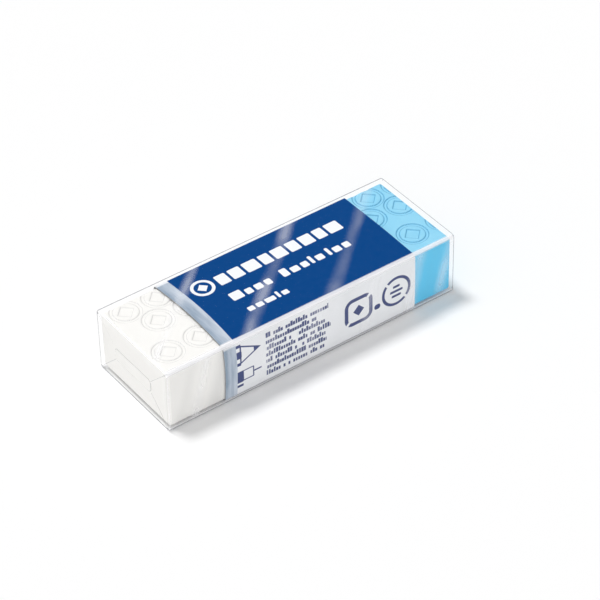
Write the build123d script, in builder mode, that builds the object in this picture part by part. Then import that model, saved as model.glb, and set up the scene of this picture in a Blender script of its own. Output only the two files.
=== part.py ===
from build123d import *
import os

# A two-colour block eraser in a card sleeve, sealed in clear film.
# Millimetres. +X runs along the bar to its blue end, +Y to the back and +Z up.
# The origin is the middle of the film's flat underside, where the pack rests.

# Eraser bar: a white block and a blue block, bonded end to end
bar_length = 65.0
bar_width = 21.9
bar_height = 12.4
bar_edge_radius = 0.6
blue_length = 21.0

# Marks pressed into the bar's upper face: a ring round a small diamond
mark_diameter = 6.2
mark_line = 0.6
mark_diamond = 2.5
mark_depth = 0.15
mark_pitch = 7.0
mark_end_margin = 4.0
mark_rows = (8.4, 2.9, -5.5)

# Card sleeve: a folded band with a lap glued along the middle of its underside
card_thickness = 0.3
card_fold_radius = 0.6
card_side_clearance = 0.05
card_top_clearance = 0.1
lap_width = 7.0
sleeve_length = 44.0
sleeve_past_bond = 12.1
broad_edge_sag = 0.45
narrow_edge_sag = 0.2

# Clear film: a tube with a seam along its underside and folded, sealed ends
film_thickness = 0.05
film_corner_radius = 0.8
film_end_radius = 0.4
film_side_gap = 0.15
film_top_gap = 0.45
film_end_gap = 0.35
film_seam_width = 6.0
seal_width = 11.7
seal_height = 2.9
seal_centre_drop = 6.9
seal_corner_radius = 0.9

# Sleeve sizes, from the bar and its clearances
sleeve_inner_width = bar_width + 2 * card_side_clearance
sleeve_inner_height = bar_height + card_top_clearance
sleeve_width = sleeve_inner_width + 2 * card_thickness
sleeve_height = sleeve_inner_height + 2 * card_thickness
sleeve_fold_radius = card_fold_radius + card_thickness

# Heights, from the floor up
seam_top = 2 * film_thickness
sleeve_bottom = seam_top + card_thickness
bar_bottom = sleeve_bottom + card_thickness
bar_top = bar_bottom + bar_height
sleeve_top = sleeve_bottom + sleeve_height
sleeve_middle = sleeve_bottom + sleeve_height / 2
film_height = sleeve_top + film_top_gap + film_thickness

# Places along the bar
bar_start = -bar_length / 2
bar_end = bar_length / 2
bond_x = bar_end - blue_length
sleeve_start = bond_x + sleeve_past_bond - sleeve_length

# Film sizes: three layers lie on each other where an end is sealed
film_width = sleeve_width + 2 * (film_side_gap + film_thickness)
tube_half_length = bar_length / 2 + film_end_gap + film_thickness
flap_base = film_width - 2 * film_corner_radius
flap_fold = (flap_base - seal_width) / 2
flap_top = film_height - film_corner_radius
seal_middle = film_height - seal_centre_drop
seal_low = seal_middle - seal_height / 2
seal_high = seal_middle + seal_height / 2


def marks(first, last):
    """The marks that reach between two places along the bar, drawn on its upper face."""
    places = []
    for row, y in enumerate(mark_rows):
        x = bar_start + mark_end_margin + (row % 2) * mark_pitch / 2
        while x - mark_diameter / 2 < last:
            if x + mark_diameter / 2 > first:
                places.append((x, y))
            x += mark_pitch
    with BuildSketch(Plane.XY.offset(bar_top)) as drawn:
        with Locations(*places):
            Circle(mark_diameter / 2)
            Circle(mark_diameter / 2 - mark_line, mode=Mode.SUBTRACT)
            Rectangle(mark_diamond, mark_diamond, rotation=45)
    return drawn.sketch


# White block, from its free end to the bond
with BuildPart() as white_block:
    with BuildSketch(Plane.YZ.offset(bar_start)):
        with Locations((0, bar_bottom + bar_height / 2)):
            Rectangle(bar_width, bar_height)
    extrude(amount=bond_x - bar_start)
    bond_edges = white_block.edges().group_by(Axis.X)[-1]
    fillet(white_block.edges() - bond_edges, radius=bar_edge_radius)
    extrude(marks(bar_start, bond_x), amount=-mark_depth, mode=Mode.SUBTRACT)

# Blue block, from the bond to its free end
with BuildPart() as blue_block:
    with BuildSketch(Plane.YZ.offset(bond_x)):
        with Locations((0, bar_bottom + bar_height / 2)):
            Rectangle(bar_width, bar_height)
    extrude(amount=blue_length)
    bond_edges = blue_block.edges().group_by(Axis.X)[0]
    fillet(blue_block.edges() - bond_edges, radius=bar_edge_radius)
    extrude(marks(bond_x, bar_end), amount=-mark_depth, mode=Mode.SUBTRACT)

# Card sleeve, with its glued lap below and a shallow curve cut into its white end
with BuildPart() as card_sleeve:
    with BuildSketch(Plane.YZ.offset(sleeve_start)):
        with Locations((0, sleeve_middle)):
            RectangleRounded(sleeve_width, sleeve_height, sleeve_fold_radius)
            RectangleRounded(
                sleeve_inner_width, sleeve_inner_height, card_fold_radius, mode=Mode.SUBTRACT
            )
        with Locations((0, sleeve_bottom)):
            Rectangle(lap_width, card_thickness, align=(Align.CENTER, Align.MAX))
    extrude(amount=sleeve_length)
    with BuildSketch(Plane.XY.offset(seam_top)):
        with BuildLine():
            corner = (sleeve_start, sleeve_width / 2 - sleeve_fold_radius)
            far_corner = (sleeve_start, sleeve_fold_radius - sleeve_width / 2)
            ThreePointArc(corner, (sleeve_start + broad_edge_sag, 0), far_corner)
            Line(far_corner, corner)
        make_face()
    extrude(amount=sleeve_top - seam_top, mode=Mode.SUBTRACT)
    with BuildSketch(Plane.XZ.offset(-sleeve_width / 2)):
        with BuildLine():
            corner = (sleeve_start, sleeve_top - sleeve_fold_radius)
            far_corner = (sleeve_start, sleeve_bottom + sleeve_fold_radius)
            ThreePointArc(corner, (sleeve_start + narrow_edge_sag, sleeve_middle), far_corner)
            Line(far_corner, corner)
        make_face()
    extrude(amount=sleeve_width, mode=Mode.SUBTRACT)

# Space that the film closes round, without its seam
with BuildPart() as film_space:
    with BuildSketch(Plane.YZ.offset(film_thickness - tube_half_length)):
        with Locations((0, film_height / 2)):
            RectangleRounded(
                film_width - 2 * film_thickness,
                film_height - 2 * film_thickness,
                film_corner_radius - film_thickness,
            )
    extrude(amount=2 * (tube_half_length - film_thickness))
    end_edges = film_space.faces().filter_by(Axis.X).edges()
    fillet(end_edges, radius=film_end_radius - film_thickness)

# Film: a tube closed at both ends, with its seam inside its floor
with BuildPart() as film_wrap:
    with BuildSketch(Plane.YZ.offset(-tube_half_length)):
        with Locations((0, film_height / 2)):
            RectangleRounded(film_width, film_height, film_corner_radius)
    extrude(amount=2 * tube_half_length)
    end_edges = film_wrap.faces().filter_by(Axis.X).edges()
    fillet(end_edges, radius=film_end_radius)
    add(film_space.part, mode=Mode.SUBTRACT)
    with BuildSketch(Plane.XY.offset(film_thickness)):
        Rectangle(2 * (tube_half_length - film_corner_radius), film_seam_width)
    extrude(amount=film_thickness)

    # Each end: an upper and a lower flap folded in, and the seal where they overlap
    for side in (-1, 1):
        with BuildSketch(Plane.YZ.offset(side * tube_half_length)):
            with BuildLine():
                Polyline(
                    (-flap_base / 2, flap_top),
                    (-seal_width / 2, flap_top - flap_fold),
                    (-seal_width / 2, film_corner_radius + flap_fold),
                    (-flap_base / 2, film_corner_radius),
                    (flap_base / 2, film_corner_radius),
                    (seal_width / 2, film_corner_radius + flap_fold),
                    (seal_width / 2, flap_top - flap_fold),
                    (flap_base / 2, flap_top),
                    close=True,
                )
            make_face()
        extrude(amount=side * film_thickness)
        with BuildSketch(Plane.YZ.offset(side * (tube_half_length + film_thickness))):
            with Locations((0, seal_middle)):
                RectangleRounded(seal_width, seal_height, seal_corner_radius)
        extrude(amount=side * film_thickness)

os.makedirs("parts", exist_ok=True)
white_block.part.label = "white_block"
blue_block.part.label = "blue_block"
card_sleeve.part.label = "card_sleeve"
film_wrap.part.label = "film_wrap"
export_step(white_block.part, "parts/white_block.step")
export_step(blue_block.part, "parts/blue_block.step")
export_step(card_sleeve.part, "parts/card_sleeve.step")
export_step(film_wrap.part, "parts/film_wrap.step")
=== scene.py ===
import math

import bmesh
import bpy
from mathutils import Matrix, Vector, noise


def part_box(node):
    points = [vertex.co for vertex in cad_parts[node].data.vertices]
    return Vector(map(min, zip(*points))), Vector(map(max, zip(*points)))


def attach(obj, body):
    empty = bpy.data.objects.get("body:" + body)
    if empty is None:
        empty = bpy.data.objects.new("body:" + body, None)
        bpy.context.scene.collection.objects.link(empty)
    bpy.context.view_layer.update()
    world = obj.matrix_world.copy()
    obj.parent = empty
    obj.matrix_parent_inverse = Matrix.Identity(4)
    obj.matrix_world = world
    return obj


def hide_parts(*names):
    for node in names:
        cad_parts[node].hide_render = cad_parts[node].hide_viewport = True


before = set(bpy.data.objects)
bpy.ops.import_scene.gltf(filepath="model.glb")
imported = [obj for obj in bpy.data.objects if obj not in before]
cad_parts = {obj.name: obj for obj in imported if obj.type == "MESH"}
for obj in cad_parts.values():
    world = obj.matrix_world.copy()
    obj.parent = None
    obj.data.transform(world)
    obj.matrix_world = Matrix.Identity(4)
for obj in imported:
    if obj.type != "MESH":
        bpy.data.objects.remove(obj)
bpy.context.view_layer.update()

# Everything is in metres, and the shaders count in millimetres
MM = 0.001

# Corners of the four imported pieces
white_low, white_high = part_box("white_block")
blue_low, blue_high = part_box("blue_block")
sleeve_low, sleeve_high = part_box("card_sleeve")
film_low, film_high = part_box("film_wrap")

# Eraser bar
BAR_EDGE = 0.6 * MM
BAR_EDGE_STEPS = 6
BAR_GRID = 0.14 * MM
BAR_WAVE = 0.03 * MM
BAR_WAVE_LENGTH = 9.0 * MM
UNDER_SLEEVE = 1.0 * MM

# Marks pressed into the bar: a ring round a small diamond
MARK_RADIUS = 2.8 * MM
MARK_LINE = 0.6 * MM
MARK_DIAMOND = 1.77 * MM
MARK_DEPTH = 0.15 * MM
MARK_SOFT = 0.24 * MM
MARK_PITCH = 7.0 * MM
MARK_MARGIN = 4.0 * MM
MARK_ROWS = (8.4 * MM, 2.9 * MM, -5.5 * MM)

# Card sleeve
CARD = 0.3 * MM
CARD_GRID = 1.0 * MM
FOLD = 0.9 * MM
FOLD_STEPS = 7
LAP_WIDTH = 7.0 * MM
BROAD_SAG = 0.45 * MM
NARROW_SAG = 0.2 * MM
BROAD_BOW = 0.16 * MM
NARROW_BOW = 0.06 * MM

# Film
FILM = 0.05 * MM
FILM_CORNER = 0.8 * MM
FILM_CORNER_STEPS = 7
FILM_END = 0.4 * MM
FILM_END_STEPS = 4
FILM_GRID = 0.7 * MM
END_GRID = 0.14 * MM
SEAM_WIDTH = 6.0 * MM
SEAL_WIDTH = 11.7 * MM
SEAL_HEIGHT = 2.9 * MM
SEAL_DROP = 6.9 * MM
SEAL_CORNER = 0.9 * MM
SINK_FADE = 2.0 * MM
TOP_SINK = 0.26 * MM
SIDE_SINK = 0.07 * MM
END_SINK = 0.12 * MM
LAYER_SOFT = 0.12 * MM
RIPPLE_WIDTH = 4.5 * MM
RIPPLE_LENGTH = 16.0 * MM
TOP_SEED = 0.0
SIDE_SEED = 5.0
END_SEED = 9.0
STREAK_TURN = math.radians(41)

# Meshes: how near counts as the same place, and the angle that stays a sharp edge
SAME_PLACE = 1e-6
CUT_MERGE = 1e-7
SHARP_ANGLE = math.radians(50)
DIAGONAL = 0.707


# ---------------------------------------------------------------- shader values


class Value:
    """A shader value that Python's arithmetic works on: each operator adds its Math node."""

    def __init__(self, paint, socket):
        self.paint = paint
        self.socket = socket

    def math(self, operation, *others, clamp=False):
        settings = {"operation": operation, "use_clamp": clamp}
        return self.paint.add("ShaderNodeMath", settings, dict(enumerate((self, *others))))

    def reversed_math(self, operation, other):
        return self.paint.add("ShaderNodeMath", {"operation": operation}, {0: other, 1: self})

    def __add__(self, other):
        return self.math("ADD", other)

    def __radd__(self, other):
        return self.math("ADD", other)

    def __sub__(self, other):
        return self.math("SUBTRACT", other)

    def __rsub__(self, other):
        return self.reversed_math("SUBTRACT", other)

    def __mul__(self, other):
        return self.math("MULTIPLY", other)

    def __rmul__(self, other):
        return self.math("MULTIPLY", other)

    def __truediv__(self, other):
        return self.math("DIVIDE", other)

    def __rtruediv__(self, other):
        return self.reversed_math("DIVIDE", other)

    def __pow__(self, other):
        return self.math("POWER", other)

    def __abs__(self):
        return self.math("ABSOLUTE")

    def least(self, other):
        return self.math("MINIMUM", other)

    def most(self, other):
        return self.math("MAXIMUM", other)

    def clamped(self):
        return self.math("ADD", 0.0, clamp=True)

    def inside(self, soft):
        """1 where this distance is below zero, fading to 0 over soft."""
        return self.math("MULTIPLY_ADD", -1.0 / soft, 0.5, clamp=True)


class Paint:
    """A tree of shader nodes under construction."""

    def __init__(self, tree):
        self.tree = tree
        tree.nodes.clear()

    def add(self, kind, settings=None, values=None, output=0):
        """Adds a node, its settings first and then its sockets' values or links."""
        node = self.tree.nodes.new(kind)
        for name, setting in (settings or {}).items():
            setattr(node, name, setting)
        for name, value in (values or {}).items():
            if isinstance(value, Value):
                self.tree.links.new(value.socket, node.inputs[name])
            else:
                node.inputs[name].default_value = value
        return Value(self, node.outputs[output])

    def point(self):
        """The surface point, in millimetres."""
        metres = self.add("ShaderNodeTexCoord", output="Object")
        settings = {"operation": "SCALE"}
        return self.add("ShaderNodeVectorMath", settings, {0: metres, "Scale": 1 / MM})

    def parts(self, point):
        """A point's x, y and z."""
        return [self.add("ShaderNodeSeparateXYZ", None, {0: point}, axis) for axis in "XYZ"]

    def noise(self, point, scale, detail=3.0, stretch=(1, 1, 1), turn=0.0):
        """A soft random value from about 0 to 1, over millimetres."""
        values = {"Vector": point, "Rotation": (0, 0, turn), "Scale": stretch}
        mapped = self.add("ShaderNodeMapping", {"vector_type": "TEXTURE"}, values)
        values = {"Vector": mapped, "Scale": scale, "Detail": detail}
        return self.add("ShaderNodeTexNoise", None, values)

    def blend(self, share, first, second):
        """A colour that goes from the first to the second."""
        settings = {"data_type": "RGBA"}
        return self.add("ShaderNodeMix", settings, {0: share, 6: first, 7: second}, 2)

    def bump(self, height, distance, strength=1.0):
        values = {"Height": height, "Distance": distance, "Strength": strength}
        return self.add("ShaderNodeBump", None, values)

    def output(self, shader, kind="ShaderNodeOutputMaterial"):
        node = self.tree.nodes.new(kind)
        self.tree.links.new(shader.socket, node.inputs["Surface"])


def new_paint(name):
    material = bpy.data.materials.new(name)
    material.use_nodes = True
    return material, Paint(material.node_tree)


# Distances to simple printed shapes, below zero inside them


def length_of(x, y):
    return (x * x + y * y) ** 0.5


def bar_shape(x, y, middle, half, corner):
    """A bar with round corners, from its middle, half size and corner radius."""
    over_x = abs(x - middle[0]) - (half[0] - corner)
    over_y = abs(y - middle[1]) - (half[1] - corner)
    inner = over_x.most(over_y).least(0.0)
    return length_of(over_x.most(0.0), over_y.most(0.0)) + inner - corner


def ring_shape(x, y, middle, radius, half_line):
    return abs(length_of(x - middle[0], y - middle[1]) - radius) - half_line


def diamond_shape(x, y, middle, reach):
    return abs(x - middle[0]) + abs(y - middle[1]) - reach


# ---------------------------------------------------------------- materials


# Each vinyl's colour, a darker colour for its random mottling, a darker and deeper colour for its
# sides as painted shade, and a dark colour for the marks' walls as painted shade in the grooves
WHITE_VINYL = (0.945, 0.935, 0.91, 1)
WHITE_SHADE = (0.915, 0.905, 0.88, 1)
WHITE_SIDE_SHADE = (0.92, 0.91, 0.885, 1)
WHITE_GROOVE_SHADE = (0.66, 0.655, 0.65, 1)
BLUE_VINYL = (0.34, 0.70, 0.90, 1)
BLUE_SHADE = (0.235, 0.62, 0.86, 1)
BLUE_SIDE_SHADE = (0.11, 0.60, 0.92, 1)
BLUE_GROOVE_SHADE = (0.03, 0.24, 0.47, 1)


def vinyl(name, colour, shade, side, line):
    """Soft filled vinyl: a fine grain, faint mottling, painted shade on the marks' walls, and a
    darker, deeper colour on the sides as painted shade.
    """
    material, paint = new_paint(name)
    point = paint.point()
    normal = paint.add("ShaderNodeNewGeometry", None, None, "Normal")
    upward = paint.add("ShaderNodeSeparateXYZ", None, {0: normal}, "Z")
    wall = paint.add("ShaderNodeAttribute", {"attribute_name": "mark_wall"}, None, "Fac")
    mottle = paint.noise(point, 0.22, 4.0)
    grain = paint.noise(point, 6.0, 2.0)
    rubbed = (paint.noise(point, 0.5, 5.0) - 0.52) * 6.0
    tone = paint.blend(mottle.most(rubbed * 0.5).clamped(), shade, colour)
    # Painted shade: the sides, turned away from the top, take a darker and deeper colour
    tone = paint.blend((1.0 - upward).clamped() * 0.85, tone, side)
    # Painted shade in the marks: their sloping walls are drawn darker
    tone = paint.blend((wall * (0.55 + grain * 0.9)).clamped(), tone, line)
    height = grain * 0.6 + paint.noise(point, 1.1, 3.0) * 0.8
    values = {
        "Base Color": tone,
        "Roughness": mottle * 0.14 + 0.5,
        "Specular IOR Level": 0.15,
        "Subsurface Weight": 0.12,
        "Subsurface Radius": (1.0, 1.0, 1.0),
        "Subsurface Scale": 0.7 * MM,
        "Normal": paint.bump(height, 0.035 * MM),
    }
    paint.output(paint.add("ShaderNodeBsdfPrincipled", None, values))
    return material


WHITE_INK = (0.90, 0.92, 0.95, 1)
BLUE_INK = (0.0, 0.056, 0.232, 1)
DARK_INK = (0.022, 0.042, 0.175, 1)
CARD_WHITE = (0.85, 0.865, 0.89, 1)
CARD_BRIGHT = (0.93, 0.94, 0.96, 1)
# The silver band's lighter and darker tones, between which its painted reflection is drawn
SILVER_LIGHT = (0.60, 0.66, 0.75, 1)
SILVER_DARK = (0.30, 0.38, 0.48, 1)
# The raw card's tones, dark partly for its grey core and partly as painted shade along the
# sleeve's cut ends
RAW_DARK = (0.22, 0.225, 0.24, 1)
RAW_LIGHT = (0.36, 0.365, 0.38, 1)
BAND_WIDTH = 2.65
FIELD_MARGIN = 0.42
# The next two: how far the painted highlight along the top folds reaches in from the sides and
# down from the top
FOLD_MARGIN = 1.05
FOLD_LIGHT = 0.85
INK_SOFT = 0.09
FACE_SOFT = 0.05
FOLD_SOFT = 0.3

# Rows of white blocks on the blue field: left end, foot, corner radius, gap between
# blocks, and each block's width and height
TITLE_ROWS = (
    (-10.5, 3.3, 0.3, 0.62, ((2.4, 3.0), (2.6, 3.0), (3.1, 3.0), (2.2, 3.0), (2.8, 3.0))),
    (5.7, 3.3, 0.3, 0.62, ((2.4, 3.0), (2.7, 3.0), (2.2, 3.0), (3.0, 3.0))),
    (-11.2, -1.8, 0.3, 0.6, ((2.5, 2.3), (1.5, 1.6), (1.7, 1.6), (1.4, 1.6))),
    (0.2, -1.8, 0.3, 0.6, ((1.5, 2.3), (1.8, 1.6), (1.5, 1.6), (0.7, 2.3), (1.7, 1.6))),
    (10.8, -1.8, 0.3, 0.6, ((0.7, 2.3), (1.7, 1.6), (1.5, 1.6))),
    (-10.6, -5.9, 0.25, 0.5, ((1.4, 1.2), (1.5, 1.2), (2.2, 1.2), (0.6, 1.8), (1.4, 1.2))),
)
ROUNDEL = (-13.7, 4.9)
ROUNDEL_RADIUS = 2.05
ROUNDEL_LINE = 0.32
ROUNDEL_DIAMOND = 1.15


def top_print(x, y):
    """The white shapes on the broad panel, as one distance."""
    shape = ring_shape(x, y, ROUNDEL, ROUNDEL_RADIUS, ROUNDEL_LINE)
    shape = shape.least(diamond_shape(x, y, ROUNDEL, ROUNDEL_DIAMOND))
    for left, foot, corner, gap, blocks in TITLE_ROWS:
        for width, height in blocks:
            middle = (left + width / 2, foot + height / 2)
            shape = shape.least(bar_shape(x, y, middle, (width / 2, height / 2), corner))
            left += width + gap
    return shape


# The pencil: its tip, its cone's slope and back, and where its lead begins
PENCIL_TIP = (-12.2, 10.0)
PENCIL_SLOPE = 0.48
PENCIL_BACK = -16.9
PENCIL_LINE = 0.16
LEAD_BACK = -13.8

# Bars of both tools, by middle, half size and corner radius. The pencil's edges are a pair,
# and their middle is measured from its axis
PENCIL_CORE = ((-17.2, 10.0), (0.7, 0.85), 0.35)
PENCIL_EDGES = ((-17.35, 2.15), (0.65, 0.36), 0.1)
PEN_BARS = (
    ((-17.15, 4.75), (0.85, 1.35), 0.1),
    ((-17.15, 2.65), (0.85, 0.28), 0.1),
    ((-13.1, 4.8), (0.9, 0.17), 0.05),
)
PEN_HOLDER = ((-15.15, 4.8), (1.15, 1.15), 0.1)
PEN_LINE = 0.12


def wedge_shape(x, z, back):
    """The pencil's cone, which points along x, from its back to its tip."""
    from_axis = abs(z - PENCIL_TIP[1])
    side = (from_axis + (x - PENCIL_TIP[0]) * PENCIL_SLOPE) / math.hypot(1, PENCIL_SLOPE)
    return side.most(back - x)


def tool_signs(x, z):
    """A sharpened pencil above and a drawing pen below, in simple shapes."""
    cone = abs(wedge_shape(x, z, PENCIL_BACK) + PENCIL_LINE) - PENCIL_LINE
    signs = cone.most(PENCIL_BACK - x).least(wedge_shape(x, z, LEAD_BACK))
    signs = signs.least(bar_shape(x, z, *PENCIL_CORE))
    signs = signs.least(bar_shape(x, abs(z - PENCIL_TIP[1]), *PENCIL_EDGES))
    signs = signs.least(abs(bar_shape(x, z, *PEN_HOLDER)) - PEN_LINE)
    for bar in PEN_BARS:
        signs = signs.least(bar_shape(x, z, *bar))
    return signs


FINE_ROWS = 7
FINE_TOP = 12.25
FINE_PITCH = 1.5
FINE_LEFT = -11.1
FINE_STEP = 0.56
FINE_SHIFT = 0.37
FINE_HALF_HEIGHT = 0.25
FINE_HALF_WIDTH = 0.48
FINE_EXTRA = 0.14
FINE_RIGHT = 0.4
FINE_RAGGED = 3.5
TALL_ABOVE = 0.72
GAP_BELOW = 0.13


def fine_print(paint, x, z):
    """Rows of small strokes of uneven height and width, with a ragged right edge."""
    down = (FINE_TOP - z) / FINE_PITCH
    row = down.math("FLOOR")
    from_middle = 0.5 - down.math("FRACT")
    along = (x - FINE_LEFT) / FINE_STEP + row * FINE_SHIFT
    cell = paint.add("ShaderNodeCombineXYZ", None, {0: along.math("FLOOR"), 1: row})
    settings = {"noise_dimensions": "2D"}
    chance = paint.add("ShaderNodeTexWhiteNoise", settings, {"Vector": cell})
    line = paint.add("ShaderNodeTexWhiteNoise", {"noise_dimensions": "1D"}, {"W": row + 3.0})
    taller = (TALL_ABOVE - chance).inside(0.02) * FINE_EXTRA
    height = abs(from_middle - taller + 0.04) - (FINE_HALF_HEIGHT + taller)
    narrower = (chance * 7.3).math("FRACT") * 0.15
    width = abs(along.math("FRACT") - 0.5) - (FINE_HALF_WIDTH - narrower)
    mask = height.inside(0.1) * width.inside(0.16) * (GAP_BELOW - chance).inside(0.02)
    right = x - FINE_RIGHT - line * FINE_RAGGED
    ends = (FINE_LEFT - x).inside(FACE_SOFT) * right.inside(FACE_SOFT)
    rows = (-0.5 - row).inside(0.1) * (row - (FINE_ROWS - 0.5)).inside(0.1)
    return mask * ends * rows


# The two loops, their lines and the breaks in them, and the bars between and inside them
SQUARE_LOOP = ((10.2, 6.9), (2.85, 2.85), 1.5)
SQUARE_LINE = 0.42
SQUARE_BREAK = 0.45
SQUARE_DIAMOND = 1.3
ROUND_LOOP = (19.1, 7.1)
ROUND_RADIUS = 3.1
ROUND_LINE = 0.32
ROUND_BREAK = 0.4
LOOP_BARS = (
    ((14.6, 5.5), (0.7, 0.6), 0.5),
    ((19.1, 8.2), (0.8, 0.28), 0.2),
    ((19.1, 7.1), (1.5, 0.28), 0.2),
    ((19.1, 6.0), (1.1, 0.28), 0.2),
)


def loop_signs(x, z):
    """A squared loop and a round loop, each broken twice, with plain shapes inside."""
    middle = SQUARE_LOOP[0]
    square = abs(bar_shape(x, z, *SQUARE_LOOP)) - SQUARE_LINE
    square = square.most(SQUARE_BREAK - abs(x - z - (middle[0] - middle[1])))
    ring = ring_shape(x, z, ROUND_LOOP, ROUND_RADIUS, ROUND_LINE)
    ring = ring.most(ROUND_BREAK - abs(x + z - (ROUND_LOOP[0] + ROUND_LOOP[1])))
    signs = square.least(ring).least(diamond_shape(x, z, middle, SQUARE_DIAMOND))
    for bar in LOOP_BARS:
        signs = signs.least(bar_shape(x, z, *bar))
    return signs


def printed_card():
    """Coated card: a blue field on the broad panels and dark ink on the narrow one."""
    material, paint = new_paint("printed_card")
    point = paint.point()
    x, y, z = paint.parts(point)
    half_width = sleeve_high.y / MM
    top = sleeve_high.z / MM
    middle_z = (sleeve_high.z + sleeve_low.z + CARD) / 2 / MM
    flat_y = half_width - FOLD / MM
    flat_z = top - middle_z - FOLD / MM

    # The white end is cut to a shallow curve, and the band beside it follows that
    curve = (1.0 - (y / flat_y) ** 2.0).clamped() * (BROAD_SAG / MM)
    curve = curve + (1.0 - ((z - middle_z) / flat_z) ** 2.0).clamped() * (NARROW_SAG / MM)
    from_edge = x - sleeve_low.x / MM - curve
    band = (from_edge - BAND_WIDTH).inside(INK_SOFT)

    upper = (top - 0.3 - z).inside(FACE_SOFT)
    lower = (z - (2 * middle_z - top + 0.3)).inside(FACE_SOFT)
    field = upper.most(lower) * (abs(y) - (half_width - FIELD_MARGIN)).inside(INK_SOFT)
    front = (y + half_width - 0.5).inside(FACE_SOFT)
    # A painted highlight along the top folds: the white card there is drawn brighter, and the
    # silver band turns to bright card, partly the unprinted fold and partly painted highlight
    fold_highlight = (abs(y) - half_width + FOLD_MARGIN).inside(FOLD_SOFT)
    fold_highlight = (1.0 - fold_highlight) * (top - FOLD_LIGHT - z).inside(FOLD_SOFT)

    sheen = paint.noise(point, 0.35)
    fibres = paint.noise(point, 2.2, 4.0, (3, 1, 1))
    card = paint.blend(sheen * 0.5, CARD_WHITE, CARD_BRIGHT)
    # Painted highlight: brighter card along the top folds
    card = paint.blend(fold_highlight * 0.85, card, CARD_BRIGHT)
    # The silver band is drawn with a painted reflection: soft streaks, lighter away from the
    # white end and towards the bottom
    streaks = paint.noise(point, 0.55, 2.0, (0.4, 3.0, 3.0))
    across_band = (from_edge / BAND_WIDTH).clamped()
    lower_sheen = ((5.0 - z) / 6.0).clamped() * 0.4
    bright = ((streaks - 0.45) * 1.6 + across_band * 0.75 + lower_sheen).clamped()
    silver = paint.blend(bright, SILVER_DARK, SILVER_LIGHT)
    # Bright card at the top folds on the silver band: partly the unprinted fold, partly painted
    # highlight
    silver = paint.blend(fold_highlight * 0.8, silver, CARD_BRIGHT)
    ink_wear = paint.noise(point, 0.8, 3.0) * 0.007
    blue = paint.blend(ink_wear, BLUE_INK, WHITE_INK)
    blue = paint.blend(top_print(x, y).inside(INK_SOFT) * upper, blue, WHITE_INK)

    colour = paint.blend(field, card, blue)
    signs = tool_signs(x, z).least(loop_signs(x, z)).inside(INK_SOFT)
    signs = signs.most(fine_print(paint, x, z)) * front
    colour = paint.blend(signs * 0.93, colour, DARK_INK)
    colour = paint.blend(band, colour, silver)
    values = {
        "Base Color": colour,
        "Roughness": 0.36 + sheen * 0.12 - band * 0.08,
        "Specular IOR Level": 0.02,
        "Normal": paint.bump(fibres, 0.02 * MM, 0.6),
    }
    paint.output(paint.add("ShaderNodeBsdfPrincipled", None, values))
    return material


def raw_card_with_edge_shade():
    """The card's uncoated inside and its cut edges, grey with fibres and dark: partly the card's
    grey core, partly painted shade along the sleeve's cut ends.
    """
    material, paint = new_paint("raw_card_with_edge_shade")
    point = paint.point()
    fibres = paint.noise(point, 3.5, 5.0, (4, 1, 1))
    values = {
        "Base Color": paint.blend(fibres, RAW_DARK, RAW_LIGHT),
        "Roughness": 0.8 + fibres * 0.1,
        "Normal": paint.bump(fibres, 0.03 * MM),
    }
    paint.output(paint.add("ShaderNodeBsdfPrincipled", None, values))
    return material


# The film's painted highlights are drawn in a pale white, and its painted shade in a mid grey
HIGHLIGHT_WHITE = (0.97, 0.97, 1.0, 1)
LINE_GREY = (0.27, 0.28, 0.30, 1)
CLEAR_WHITE = (1, 1, 1, 1)
GLOSS_ROUGHNESS = 0.09
EDGE_SOFT = 0.1
SIDE_SOFT = 0.4
CREASE_HALF_LINE = 0.05
SEAL_HALF_LINE = 0.07

# Painted gloss streaks across the film, drawn as painted highlights: place across them, half
# width and strength
TOP_STREAKS = ((-15.8, 1.6, 0.30), (-1.2, 2.0, 0.30), (11.2, 1.8, 0.24))
SIDE_STREAKS = (
    (-27.2, 1.6, 0.5),
    (-12.5, 2.0, 0.22),
    (-2.5, 2.4, 0.22),
    (11.0, 2.0, 0.22),
    (21.9, 2.3, 0.32),
    (29.0, 2.2, 0.32),
)
SIDE_SHADES = ((-23.4, 2.6, 0.14), (-30.6, 2.0, 0.06), (5.0, 3.0, 0.04), (25.8, 2.4, 0.03))


def streak_shape(across, streaks):
    """The strongest streak at a place, fading smoothly to both its sides."""
    shape = None
    for place, half, strength in streaks:
        band = (1.0 - abs((across - place) / half)).clamped()
        band = band * band * (3.0 - 2.0 * band) * strength
        shape = band if shape is None else shape.most(band)
    return shape


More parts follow.
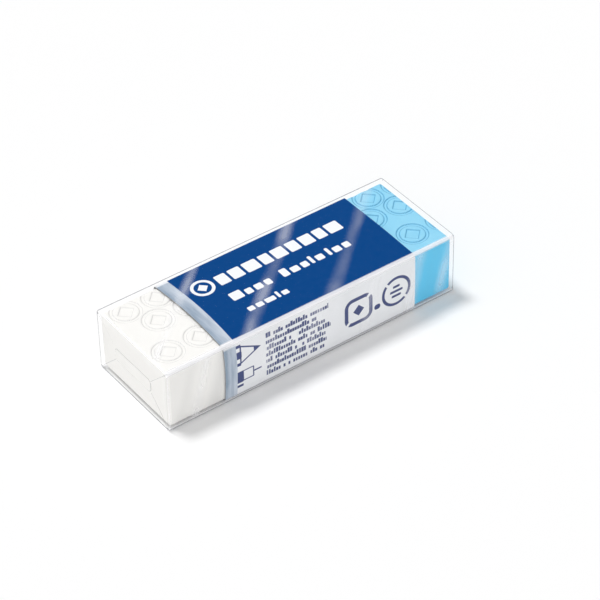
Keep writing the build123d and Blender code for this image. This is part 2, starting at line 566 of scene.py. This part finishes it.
def clear_film():
    """Thin clear film: faint gloss, painted highlights in soft streaks and along its edges, and
    painted shade in grey lines and patches.
    """
    material, paint = new_paint("clear_film")
    point = paint.point()
    x, y, z = paint.parts(point)
    facing = paint.add("ShaderNodeLayerWeight", None, {"Blend": 0.5}, "Facing")
    back = paint.add("ShaderNodeNewGeometry", None, None, "Backfacing")
    ripple = paint.noise(point, 0.16, 2.0, (3.5, 1, 1), STREAK_TURN)
    fine = paint.noise(point, 0.9, 3.0, (2.5, 1, 1), STREAK_TURN)
    normal = paint.bump(ripple + fine * 0.15, 0.25 * MM, 0.5)

    top = film_high.z / MM
    half_width = film_high.y / MM
    end = film_high.x / MM
    corner = FILM_CORNER / MM
    from_side = half_width - abs(y)
    from_top = top / 2 - abs(z - top / 2)
    from_end = end - abs(x)
    fold = (from_side - corner).inside(EDGE_SOFT) * (from_top - corner).inside(EDGE_SOFT)
    ring = (from_side.least(from_top) - FILM_END / MM).inside(EDGE_SOFT)
    edge = fold.most(ring * (from_end - FILM_END / MM).inside(EDGE_SOFT))

    across = x * math.sin(STREAK_TURN) - y * math.cos(STREAK_TURN) + ripple * 2.4 - 1.2
    streak = streak_shape(across, TOP_STREAKS) * (top - 0.6 - z).inside(SIDE_SOFT)
    drift = paint.noise(point, 0.07, 0.0)
    across = x - z * 0.25 + drift * 2.0 - 1.0
    on_front = (y + half_width - 0.5).inside(SIDE_SOFT)
    side = streak_shape(across, SIDE_STREAKS) * on_front
    mottle = ((paint.noise(point, 0.13, 1.0, (1, 1, 2.5)) - 0.42) * 3.0).clamped()
    shade = (streak_shape(across, SIDE_SHADES) + mottle * 0.04) * on_front
    patches = ((paint.noise(point, 0.11, 1.0) - 0.32) * 4.0).clamped()
    streak = streak.most(side) * (0.3 + patches * 0.7)

    # Crease lines and the seal on both folded ends
    on_end = (from_end - 0.45).inside(EDGE_SOFT)
    slope = abs(from_side - from_top) * DIAGONAL - CREASE_HALF_LINE
    slope = slope.most(from_side - (half_width - SEAL_WIDTH / MM / 2))
    middle = (0.0, top - SEAL_DROP / MM)
    half = (SEAL_WIDTH / MM / 2, SEAL_HEIGHT / MM / 2)
    seal = bar_shape(y, z, middle, half, SEAL_CORNER / MM)
    crease = slope.least(abs(seal) - SEAL_HALF_LINE).inside(EDGE_SOFT) * on_end

    # Painted highlight along the rounded edges that face the camera
    glow = edge * ((0.34 - facing) * 6.0).clamped()
    # Painted shade along the outline, where the rounded edges turn away from the camera
    rim = edge * ((facing - 0.45) * 6.0).clamped()
    # Painted light: the front of the film is drawn paler near the bottom
    low_edge = on_front * (z - 1.0).inside(0.6) * (1.0 - rim)
    share = facing ** 8.0 * 0.6 * (1.0 - back * 0.8)
    # Painted highlights: the streaks, the edge highlight and the paler bottom of the front, drawn
    # as a pale matt white
    highlight_share = (streak.most(glow * 0.8).most(low_edge * 0.6) * (1.0 - back)).clamped()
    # Painted shade, drawn in grey: the crease and seal lines, the darker patches on the front,
    # and the outline
    dark = ((crease * 0.42 + shade) * (1.0 - back)).most(rim * 0.8).clamped()
    clear = paint.add("ShaderNodeBsdfTransparent", None, {"Color": CLEAR_WHITE})
    values = {"Color": CLEAR_WHITE, "Roughness": GLOSS_ROUGHNESS, "Normal": normal}
    gloss = paint.add("ShaderNodeBsdfGlossy", None, values)
    values = {"Base Color": HIGHLIGHT_WHITE, "Roughness": 0.35}
    highlight_surface = paint.add("ShaderNodeBsdfPrincipled", None, values)
    values = {"Base Color": LINE_GREY, "Roughness": 0.3}
    line = paint.add("ShaderNodeBsdfPrincipled", None, values)
    body = paint.add("ShaderNodeMixShader", None, {0: share, 1: clear, 2: gloss})
    body = paint.add("ShaderNodeMixShader", None, {0: highlight_share, 1: body, 2: highlight_surface})
    paint.output(paint.add("ShaderNodeMixShader", None, {0: dark, 1: body, 2: line}))
    return material


# ---------------------------------------------------------------- mesh steps


def box_mesh(low, high):
    bm = bmesh.new()
    size = Matrix.Diagonal((*(high - low), 1))
    bmesh.ops.create_cube(bm, size=1, matrix=Matrix.Translation((low + high) / 2) @ size)
    return bm


def round_edges(bm, edges, radius, segments):
    bmesh.ops.bevel(
        bm,
        geom=edges,
        offset=radius,
        offset_type="OFFSET",
        affect="EDGES",
        segments=segments,
        profile=0.5,
        material=-1,
    )


def runs_along(edge, axis):
    step = edge.verts[1].co - edge.verts[0].co
    return abs(step[axis]) > 0.99 * step.length


def lies_at(edge, axis, place):
    return all(abs(v.co[axis] - place) < SAME_PLACE for v in edge.verts)


def steps(low, high, pitch):
    """Evenly spaced places from low to high, with both ends."""
    count = max(1, round((high - low) / pitch))
    return [low + (high - low) * i / count for i in range(count + 1)]


def cut_across(bm, axis, places, faces=None):
    """Cuts the whole mesh at places along an axis, or only some faces, and returns those."""
    normal = Vector((0, 0, 0))
    normal[axis] = 1
    for place in places:
        if faces is None:
            geometry = bm.verts[:] + bm.edges[:] + bm.faces[:]
        else:
            verts = {v for f in faces for v in f.verts}
            edges = {e for f in faces for e in f.edges}
            geometry = [*verts, *edges, *faces]
        cut = bmesh.ops.bisect_plane(
            bm, geom=geometry, dist=CUT_MERGE, plane_co=normal * place, plane_no=normal
        )
        if faces is not None:
            faces = [g for g in cut["geom"] if isinstance(g, bmesh.types.BMFace)]
    return faces


def add_piece(name, bm, materials, node):
    """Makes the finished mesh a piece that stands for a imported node."""
    mesh = bpy.data.meshes.new(name)
    bm.to_mesh(mesh)
    bm.free()
    for material in materials:
        mesh.materials.append(material)
    for polygon in mesh.polygons:
        polygon.use_smooth = True
    mesh.set_sharp_from_angle(angle=SHARP_ANGLE)
    piece = bpy.data.objects.new(name, mesh)
    bpy.context.scene.collection.objects.link(piece)
    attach(piece, "root")
    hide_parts(node)


def ease(value):
    """0 below 0, 1 above 1, and smooth between."""
    value = min(max(value, 0.0), 1.0)
    return value * value * (3 - 2 * value)


# ---------------------------------------------------------------- eraser bar


def mark_middles():
    """Middles of the marks: every other row is moved on by half a pitch."""
    middles = []
    for row, y in enumerate(MARK_ROWS):
        x = white_low.x + MARK_MARGIN + (row % 2) * MARK_PITCH / 2
        while x - MARK_RADIUS < blue_high.x:
            middles.append((x, y))
            x += MARK_PITCH
    return middles


def mark_shape(x, y, middles):
    """How deep the marks press at a point, from 0 to 1."""
    deep = 0.0
    for middle_x, middle_y in middles:
        away_x, away_y = abs(x - middle_x), abs(y - middle_y)
        if max(away_x, away_y) > MARK_RADIUS + MARK_LINE:
            continue
        ring = abs(math.hypot(away_x, away_y) - MARK_RADIUS) - MARK_LINE / 2
        diamond = (away_x + away_y - MARK_DIAMOND) * DIAGONAL
        deep = max(deep, ease(0.5 - min(ring, diamond) / MARK_SOFT))
    return deep


def eraser_block(low, high, bond_x, shown):
    """One block of the bar: rounded all over but at the bond, with marks where it shows."""
    bm = box_mesh(low, high)
    round_edges(bm, [e for e in bm.edges if not lies_at(e, 0, bond_x)], BAR_EDGE, BAR_EDGE_STEPS)
    cut_across(bm, 0, steps(*shown, BAR_GRID))
    cut_across(bm, 1, steps(low.y + BAR_EDGE / 2, high.y - BAR_EDGE / 2, BAR_GRID))
    middles = mark_middles()
    wall = bm.verts.layers.float.new("mark_wall")
    reach = BAR_EDGE / 2
    for vertex in bm.verts:
        co = vertex.co
        wave = noise.noise(co / BAR_WAVE_LENGTH) * BAR_WAVE
        seen = shown[0] - SAME_PLACE < co.x < shown[1] + SAME_PLACE
        if seen and co.z > high.z - reach:
            deep = mark_shape(co.x, co.y, middles)
            # How steep the mark's wall is here; the shader draws it darker as painted shade
            vertex[wall] = 4 * deep * (1 - deep)
            co.z -= deep * MARK_DEPTH
        if co.z > high.z - reach:
            co.z -= BAR_WAVE - wave
    return bm


def add_bar():
    white = vinyl("white_vinyl", WHITE_VINYL, WHITE_SHADE, WHITE_SIDE_SHADE, WHITE_GROOVE_SHADE)
    blue = vinyl("blue_vinyl", BLUE_VINYL, BLUE_SHADE, BLUE_SIDE_SHADE, BLUE_GROOVE_SHADE)
    shown = (white_low.x + BAR_EDGE / 2, sleeve_low.x + UNDER_SLEEVE)
    bm = eraser_block(white_low, white_high, white_high.x, shown)
    add_piece("white_eraser", bm, [white], "white_block")
    shown = (sleeve_high.x - UNDER_SLEEVE, blue_high.x - BAR_EDGE / 2)
    bm = eraser_block(blue_low, blue_high, blue_low.x, shown)
    add_piece("blue_eraser", bm, [blue], "blue_block")


# ---------------------------------------------------------------- card sleeve


def add_sleeve():
    """A folded card band, open at both ends, with its lap along the underside."""
    low = sleeve_low + Vector((0, 0, CARD))
    high = sleeve_high
    middle_z = (low.z + high.z) / 2
    flat_y = high.y - FOLD
    flat_z = high.z - middle_z - FOLD
    bm = box_mesh(low, high)
    ends = [f for f in bm.faces if abs(f.normal.x) > 0.9]
    bmesh.ops.delete(bm, geom=ends, context="FACES")
    round_edges(bm, [e for e in bm.edges if runs_along(e, 0)], FOLD, FOLD_STEPS)
    cut_across(bm, 1, steps(-flat_y, flat_y, CARD_GRID)[1:-1])
    cut_across(bm, 2, steps(middle_z - flat_z, middle_z + flat_z, CARD_GRID)[1:-1])
    bmesh.ops.recalc_face_normals(bm, faces=bm.faces[:])
    bmesh.ops.solidify(bm, geom=bm.faces[:], thickness=CARD)
    for vertex in bm.verts:
        co = vertex.co
        across = max(0.0, 1 - (co.y / flat_y) ** 2)
        upright = max(0.0, 1 - ((co.z - middle_z) / flat_z) ** 2)
        if co.x < 0:
            co.x += across * BROAD_SAG + upright * NARROW_SAG
        if co.z > middle_z:
            co.z += across * across * BROAD_BOW
        co.y += math.copysign(upright * upright * NARROW_BOW, co.y)
    lap_low = Vector((sleeve_low.x + BROAD_SAG, -LAP_WIDTH / 2, sleeve_low.z))
    lap_high = Vector((sleeve_high.x, LAP_WIDTH / 2, sleeve_low.z + CARD))
    lap = box_mesh(lap_low, lap_high)
    mesh = bpy.data.meshes.new("lap")
    lap.to_mesh(mesh)
    lap.free()
    bm.from_mesh(mesh)
    bpy.data.meshes.remove(mesh)
    bm.normal_update()
    for face in bm.faces:
        outward = Vector((0, face.calc_center_median().y, face.calc_center_median().z - middle_z))
        edge = abs(face.normal.x) > 0.5
        face.material_index = 1 if edge or face.normal.dot(outward) < 0 else 0
    add_piece("printed_sleeve", bm, [printed_card(), raw_card_with_edge_shade()], "card_sleeve")


# ---------------------------------------------------------------- film


def crinkle(across, along, seed):
    """A long soft ripple from 0 to 1, stretched along the streaks."""
    point = Vector((across / RIPPLE_WIDTH, along / RIPPLE_LENGTH, seed))
    return 0.5 + 0.5 * noise.noise(point)


def seal_layer(y, z):
    """How many more layers of film lie at a point of a folded end, from 0 to 2."""
    half_width = film_high.y
    middle = film_high.z / 2
    from_side = half_width - abs(y)
    from_top = middle - abs(z - middle)
    tongue = max((from_side - from_top) * DIAGONAL, from_side + SEAL_WIDTH / 2 - half_width)
    seal_z = film_high.z - SEAL_DROP
    over_y = max(abs(y) - SEAL_WIDTH / 2 + SEAL_CORNER, 0.0)
    over_z = max(abs(z - seal_z) - SEAL_HEIGHT / 2 + SEAL_CORNER, 0.0)
    seal = math.hypot(over_y, over_z) - SEAL_CORNER
    return ease(0.5 + tongue / LAYER_SOFT) + ease(0.5 - seal / LAYER_SOFT)


def sink_film(bm, low, high):
    """Lets the film sink a little between its edges, in long diagonal ripples."""
    middle = (low + high) / 2
    half = (high - low) / 2
    sine, cosine = math.sin(STREAK_TURN), math.cos(STREAK_TURN)
    for vertex in bm.verts:
        co = vertex.co
        depth = [half[a] - abs(co[a] - middle[a]) - FILM_CORNER for a in range(3)]
        fade = [ease(inward / SINK_FADE) for inward in depth]
        if abs(co.x) > half.x - SAME_PLACE:
            sink = crinkle(co.y, co.z, END_SEED) * fade[1] * fade[2] * END_SINK
            sink += (2 - seal_layer(co.y, co.z)) * FILM * min(1.0, 3 * fade[1] * fade[2])
            co.x -= math.copysign(sink, co.x)
        elif co.z > high.z - SAME_PLACE:
            ripple = crinkle(co.x * sine - co.y * cosine, co.x * cosine + co.y * sine, TOP_SEED)
            co.z -= ripple * fade[0] * fade[1] * TOP_SINK
        elif abs(co.y) > half.y - SAME_PLACE:
            ripple = crinkle(co.x * cosine + co.z * sine, co.z * cosine, SIDE_SEED)
            co.y -= math.copysign(ripple * fade[0] * fade[2] * SIDE_SINK, co.y)
        elif co.z < low.z + SAME_PLACE:
            beside = ease(0.5 + (abs(co.y) - SEAM_WIDTH / 2) / LAYER_SOFT)
            co.z += beside * FILM * fade[0] * fade[1]


def add_film():
    """The sealed wrap, a closed skin with folded flaps, a seal and a seam pressed in it."""
    low, high = film_low, film_high
    bm = box_mesh(low, high)
    round_edges(bm, [e for e in bm.edges if runs_along(e, 0)], FILM_CORNER, FILM_CORNER_STEPS)
    rims = [e for e in bm.edges if lies_at(e, 0, low.x) or lies_at(e, 0, high.x)]
    round_edges(bm, rims, FILM_END, FILM_END_STEPS)
    cut_across(bm, 0, steps(low.x + FILM_CORNER, high.x - FILM_CORNER, FILM_GRID))
    for side in (-1, 1):
        reach = high.x - FILM_END / 2
        faces = [f for f in bm.faces if f.calc_center_median().x * side > reach]
        for axis in (1, 2):
            places = steps(low[axis] + FILM_CORNER, high[axis] - FILM_CORNER, END_GRID)
            faces = cut_across(bm, axis, places, faces)
    cut_across(bm, 1, steps(low.y + FILM_CORNER, high.y - FILM_CORNER, FILM_GRID))
    cut_across(bm, 2, steps(low.z + FILM_CORNER, high.z - FILM_CORNER, FILM_GRID))
    sink_film(bm, low, high)
    bmesh.ops.recalc_face_normals(bm, faces=bm.faces[:])
    add_piece("clear_wrap", bm, [clear_film()], "film_wrap")


# ---------------------------------------------------------------- stage

# The view's angles, the camera's distance from the film's middle and its shift to the side
VIEW_AZIMUTH = math.radians(-35.548)
VIEW_ELEVATION = math.radians(39.912)
VIEW_ROLL = math.radians(-1.187)
VIEW_DISTANCE = 504.85 * MM
VIEW_ASIDE = 3.97 * MM
SENSOR = 36.0
LENS = 161.23

FLOOR_GREY = (0.90, 0.90, 0.90, 1)
FLOOR_REACH = 4.0
FLOOR_DROP = 0.02 * MM
FLOOR_LIFT = 0.04
AMBIENT = 0.49

# Both lamps: azimuth, elevation, strength and spread
KEY_LAMP = (202, 69, 1.74, 14)
FILL_LAMP = (-42, 12, 0.78, 50)


def seen_share(paint):
    """1 for rays that the camera sees straight on, in a mirror or through glass, and 0 else."""
    seen = paint.add("ShaderNodeLightPath", None, None, "Is Camera Ray")
    for ray in ("Is Glossy Ray", "Is Transmission Ray"):
        seen = seen.most(paint.add("ShaderNodeLightPath", None, None, ray))
    return seen


def add_floor():
    """A wide pale floor that keeps the shadow and is white where it's lit."""
    bm = bmesh.new()
    bmesh.ops.create_grid(bm, x_segments=1, y_segments=1, size=FLOOR_REACH)
    bmesh.ops.translate(bm, verts=bm.verts[:], vec=(0, 0, -FLOOR_DROP))
    mesh = bpy.data.meshes.new("floor")
    bm.to_mesh(mesh)
    bm.free()
    floor = bpy.data.objects.new("floor", mesh)
    bpy.context.scene.collection.objects.link(floor)
    material, paint = new_paint("floor")
    matt = paint.add("ShaderNodeBsdfDiffuse", None, {"Color": FLOOR_GREY})
    values = {"Color": CLEAR_WHITE, "Strength": seen_share(paint) * FLOOR_LIFT}
    glow = paint.add("ShaderNodeEmission", None, values)
    paint.output(paint.add("ShaderNodeAddShader", None, {0: matt, 1: glow}))
    mesh.materials.append(material)


def add_sun(name, azimuth, elevation, strength, spread, shadow=True):
    """A soft far lamp. Azimuth 0 shines from the front, and 180 from the back."""
    light = bpy.data.lights.new(name, "SUN")
    light.energy = strength
    light.use_shadow = shadow
    light.angle = math.radians(spread)
    lamp = bpy.data.objects.new(name, light)
    lamp.rotation_euler = (math.radians(90 - elevation), 0, math.radians(azimuth))
    bpy.context.scene.collection.objects.link(lamp)


def add_world():
    world = bpy.data.worlds.new("studio")
    world.use_nodes = True
    bpy.context.scene.world = world
    paint = Paint(world.node_tree)
    seen = seen_share(paint)
    values = {"Color": CLEAR_WHITE, "Strength": AMBIENT + seen * (1.0 - AMBIENT)}
    paint.output(paint.add("ShaderNodeBackground", None, values), "ShaderNodeOutputWorld")


def add_camera():
    sine_a, cosine_a = math.sin(VIEW_AZIMUTH), math.cos(VIEW_AZIMUTH)
    sine_e, cosine_e = math.sin(VIEW_ELEVATION), math.cos(VIEW_ELEVATION)
    backward = Vector((sine_a * cosine_e, -cosine_a * cosine_e, sine_e))
    turn = backward.to_track_quat("Z", "Y").to_matrix() @ Matrix.Rotation(VIEW_ROLL, 3, "Z")
    data = bpy.data.cameras.new("camera")
    data.sensor_width = SENSOR
    data.lens = LENS
    camera = bpy.data.objects.new("camera", data)
    look_at = Vector((0, 0, (film_low.z + film_high.z) / 2))
    camera.location = look_at + backward * VIEW_DISTANCE + turn.col[0] * VIEW_ASIDE
    camera.rotation_euler = turn.to_euler()
    bpy.context.scene.collection.objects.link(camera)
    bpy.context.scene.camera = camera


add_bar()
add_sleeve()
add_film()
add_floor()
add_world()
add_sun("key", *KEY_LAMP)
add_sun("fill", *FILL_LAMP, shadow=False)
add_camera()
bpy.context.scene.view_settings.view_transform = "Standard"
